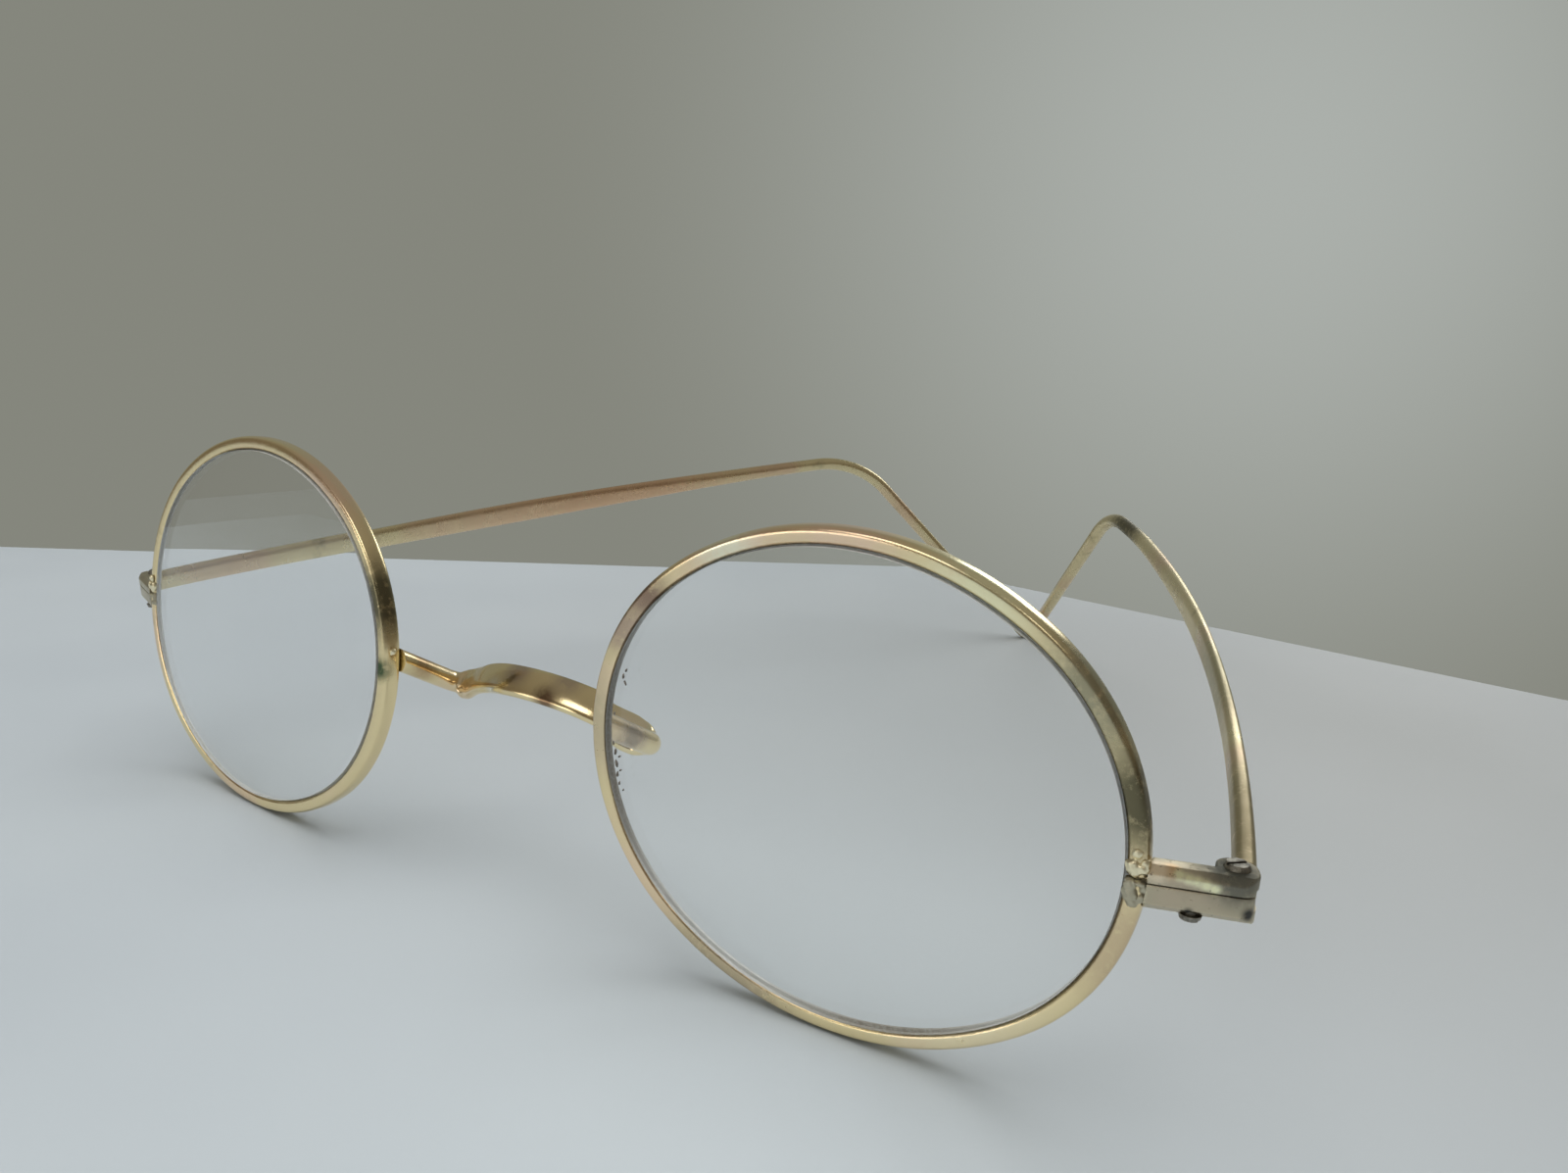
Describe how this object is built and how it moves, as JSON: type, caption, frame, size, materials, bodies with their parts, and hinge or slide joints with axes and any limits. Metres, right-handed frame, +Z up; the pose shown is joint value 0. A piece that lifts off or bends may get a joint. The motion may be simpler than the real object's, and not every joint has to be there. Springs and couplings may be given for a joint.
{
  "type": "round metal eyeglasses",
  "caption": "Round metal eyeglasses with a flattened saddle bridge, split end pieces and temples that bow inward and drop behind the ears; both temples fold.",
  "frame": {"origin": "bottom centre of the bounding box: on the surface that the pair stands on, midway between the eyes and midway from front to back", "axes": "+Z up, -Y the way the wearer looks, +Y towards the ears, +X the wearer's left"},
  "size_m": [0.1168, 0.1272, 0.0367],
  "materials": {
    "gold_wire": "pale rolled gold, polished, lightly worn",
    "lug_gold": "rolled gold, satin, dulled in the seams",
    "screw_metal": "slotted screws, dull with age",
    "lens_glass": "clear polished glass with a ground edge"
  },
  "bodies": {
    "front": {"left_rim": "gold_wire", "right_rim": "gold_wire", "left_lens": "lens_glass", "right_lens": "lens_glass", "bridge": "gold_wire", "left_upper_lug": "lug_gold", "left_lower_lug": "lug_gold", "right_upper_lug": "lug_gold", "right_lower_lug": "lug_gold", "left_closing_screw": "screw_metal", "right_closing_screw": "screw_metal", "left_hinge_screw": "screw_metal", "right_hinge_screw": "screw_metal"},
    "left_arm": {"left_temple_butt": "lug_gold", "left_temple": "gold_wire"},
    "right_arm": {"right_temple_butt": "lug_gold", "right_temple": "gold_wire"}
  },
  "joints": [
    {"name": "left_temple_hinge", "type": "hinge", "parent": "front", "child": "left_arm", "pos_m": [0.05704, -0.05788, 0.01785], "axis": [0, -0.0175, 0.9998], "range_deg": [-18, 65]},
    {"name": "right_temple_hinge", "type": "hinge", "parent": "front", "child": "right_arm", "pos_m": [-0.05704, -0.05788, 0.01785], "axis": [0, 0.0872, -0.9962], "range_deg": [-18, 52]}
  ]
}
